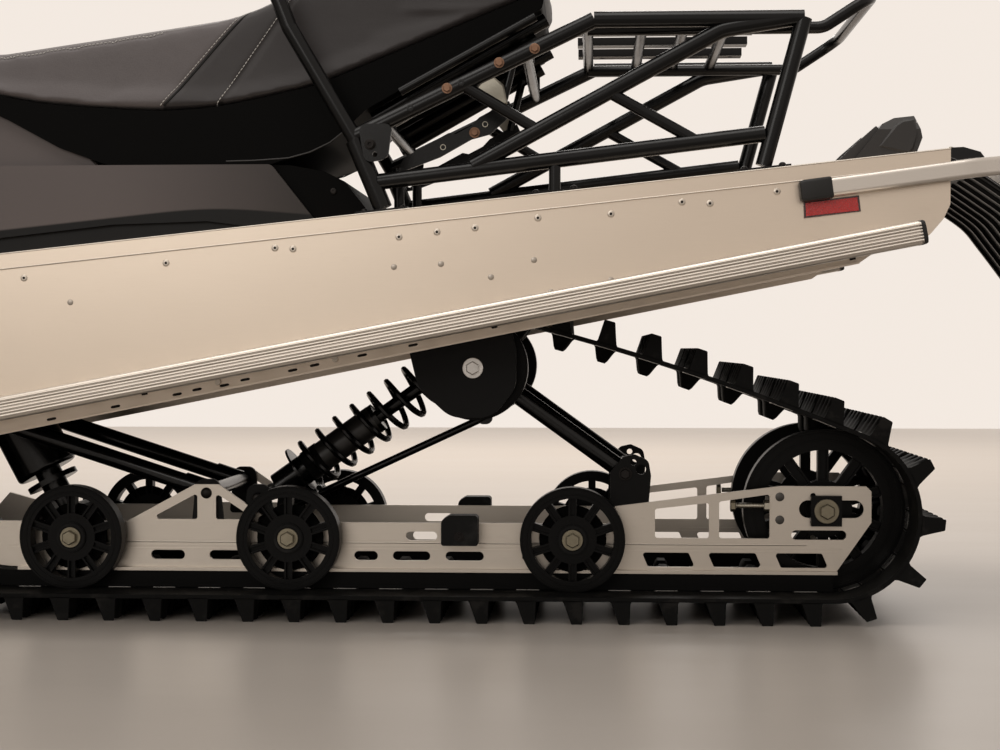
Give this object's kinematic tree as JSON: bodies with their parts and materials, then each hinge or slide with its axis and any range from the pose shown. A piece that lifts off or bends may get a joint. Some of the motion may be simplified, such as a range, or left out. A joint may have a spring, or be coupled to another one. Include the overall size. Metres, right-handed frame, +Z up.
{
  "type": "snowmobile",
  "caption": "Long-track two-up utility snowmobile with steerable skis, slide-rail rear suspension, aluminium tunnel, bench seat, backrest and rear cargo rack.",
  "frame": {"origin": "on the ground under the middle of the machine's box", "axes": "+X forward towards the ski tips, +Y to the machine's left, +Z up"},
  "size_m": [3.1803, 1.115, 1.44],
  "materials": {
    "black_rubber": "matt moulded rubber",
    "track_rubber": "matt moulded rubber",
    "aluminium": "satin mill finish",
    "rail_aluminium": "satin anodised",
    "black_frame": "satin black powder coat",
    "slider_plastic": "smooth low-friction plastic",
    "wheel_plastic": "moulded wheel plastic",
    "zinc_steel": "zinc plated",
    "black_plastic": "fine grained moulded plastic",
    "cover_plastic": "dark grey grained plastic",
    "body_plastic": "gloss black moulded panel",
    "seat_vinyl": "dark grey vinyl with light stitching",
    "screen": "clear smoked polycarbonate",
    "lamp_clear": "clear lamp lens",
    "engine_alloy": "cast",
    "ski_plastic": "black moulded ski",
    "lamp_housing": "dark moulded housing"
  },
  "bodies": {
    "chassis": {"backrest": "seat_vinyl", "belly_pan": "black_plastic", "bump_stops": "black_rubber", "carrier_brackets": "black_frame", "console": "black_plastic", "drive_axle": "slider_plastic", "engine": "engine_alloy", "front_arm": "black_frame", "front_bumper": "black_frame", "front_frame": "aluminium", "front_shock": "black_frame", "headlamps": "lamp_clear", "hood": "body_plastic", "idler_wheels": "wheel_plastic", "left_rack": "black_frame", "left_rail": "rail_aluminium", "rack_deck": "black_frame", "rear_arm": "black_frame", "rear_bumper": "aluminium", "rear_shock": "black_frame", "rear_wheels": "wheel_plastic", "right_rack": "black_frame", "right_rail": "rail_aluminium", "running_boards": "aluminium", "seat_base": "black_plastic", "seat_cushion": "seat_vinyl", "seat_rails": "black_frame", "side_cover": "cover_plastic", "ski_arms": "black_frame", "ski_shocks": "black_frame", "skid_shafts": "zinc_steel", "sliders": "slider_plastic", "snow_flap": "track_rubber", "tail_lamp": "lamp_housing", "track": "track_rubber", "tunnel": "aluminium", "windshield": "screen"},
    "steering": {"handlebar": "black_frame"},
    "left_ski_unit": {"left_spindle": "black_frame", "left_ski": "ski_plastic"},
    "right_ski_unit": {"right_spindle": "black_frame", "right_ski": "ski_plastic"},
    "tie_rod_link": {"tie_rods": "zinc_steel"},
    "left_panel": {"left_side_panel": "body_plastic"},
    "right_panel": {"right_side_panel": "body_plastic"}
  },
  "joints": [
    {"name": "handlebar_turn", "type": "hinge", "parent": "chassis", "child": "steering", "pos_m": [0.3349, 0, 1.075], "axis": [-0.5519, 0, 0.8339], "range_deg": [-38, 38]},
    {"name": "left_ski_turn", "type": "hinge", "parent": "chassis", "child": "left_ski_unit", "pos_m": [1.0049, 0.475, 0.262], "axis": [0, 0, 1], "range_deg": [-31, 31]},
    {"name": "right_ski_turn", "type": "hinge", "parent": "chassis", "child": "right_ski_unit", "pos_m": [1.0049, -0.475, 0.262], "axis": [0, 0, 1], "range_deg": [-31, 31]},
    {"name": "tie_rod_slide", "type": "slide", "parent": "chassis", "child": "tie_rod_link", "axis": [0, -1, 0], "range_m": [-0.0461, 0.0461]},
    {"name": "left_panel_hinge", "type": "hinge", "parent": "chassis", "child": "left_panel", "pos_m": [1.0789, 0.344, 0.5], "axis": [0, 0, -1], "range_deg": [0, 70]},
    {"name": "right_panel_hinge", "type": "hinge", "parent": "chassis", "child": "right_panel", "pos_m": [1.0789, -0.344, 0.5], "axis": [0, 0, 1], "range_deg": [0, 70]}
  ],
  "couplings": [
    {"joint": "left_ski_turn", "follows": "handlebar_turn", "ratio": 0.8},
    {"joint": "right_ski_turn", "follows": "handlebar_turn", "ratio": 0.8},
    {"joint": "tie_rod_slide", "follows": "handlebar_turn", "m_per_rad": 0.068}
  ]
}
